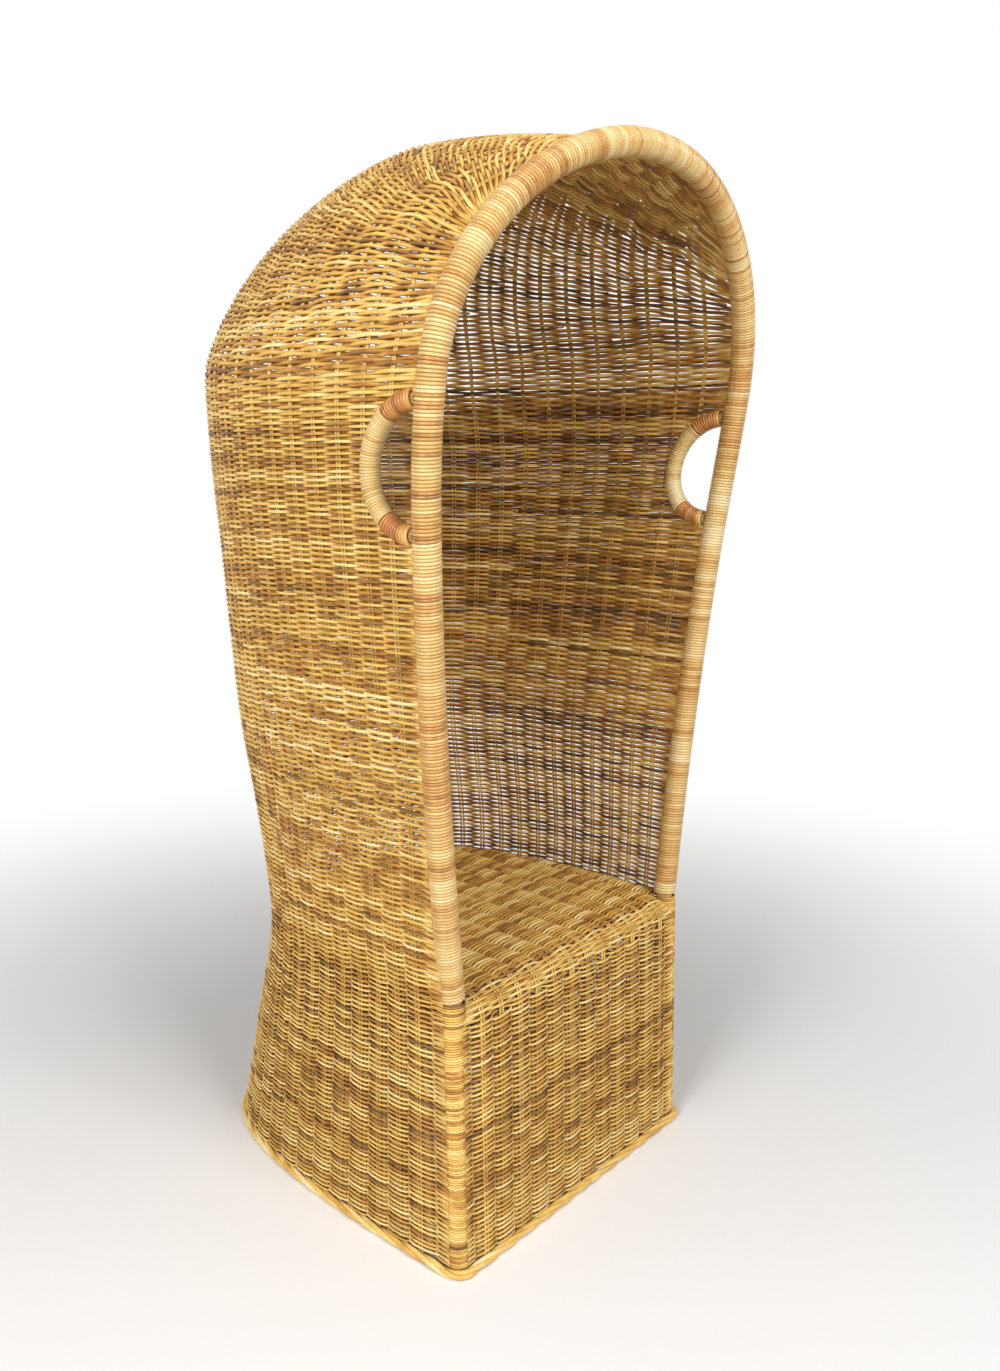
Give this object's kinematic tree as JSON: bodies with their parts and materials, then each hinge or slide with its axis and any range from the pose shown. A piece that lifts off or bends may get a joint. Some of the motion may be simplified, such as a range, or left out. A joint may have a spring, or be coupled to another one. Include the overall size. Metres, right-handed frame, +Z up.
{
  "type": "hooded porters chair",
  "caption": "Hooded porter's chair: woven rattan sides, back and dome on a bent pole frame, with a woven seat and a hand hole with a bound ring in each side.",
  "frame": {"origin": "on the floor, under the middle of the whole chair", "axes": "+X across the chair, from left to right as seen from in front, +Y back, away from the sitter's knees, +Z up"},
  "size_m": [0.816, 0.8588, 1.7315],
  "materials": {
    "pole": "varnished rattan pole, satin",
    "binding": "glossy split cane, golden with brown bands",
    "lashing": "red-brown glossy cane",
    "weave": "varnished round cane, golden brown with darker and straw-coloured rows",
    "border": "light golden cane"
  },
  "bodies": {
    "root": {"front_hoop_pole": "pole", "arch_binding": "binding", "rear_leg_left": "pole", "rear_leg_right": "pole", "foot_rail_front": "pole", "foot_rail_back": "pole", "foot_rail_left": "pole", "foot_rail_right": "pole", "seat_rail_front": "pole", "seat_rail_back": "pole", "seat_rail_left": "pole", "seat_rail_right": "pole", "seat_slat_1": "pole", "seat_slat_2": "pole", "seat_slat_3": "pole", "seat_slat_4": "pole", "seat_slat_5": "pole", "handle_core_left": "pole", "handle_core_right": "pole", "handle_wrap_left": "binding", "handle_wrap_right": "binding", "handle_lashing_left_upper": "lashing", "handle_lashing_left_lower": "lashing", "handle_lashing_right_upper": "lashing", "handle_lashing_right_lower": "lashing", "base_weave_front": "weave", "base_weave_left": "weave", "base_weave_right": "weave", "base_weave_back": "weave", "corner_weave_left": "weave", "corner_weave_right": "weave", "seat_weave": "weave", "side_weave_left": "weave", "side_weave_right": "weave", "back_weave": "weave", "hood_weave": "weave", "border_front": "border", "border_left": "border", "border_right": "border", "border_back": "border"}
  },
  "joints": []
}
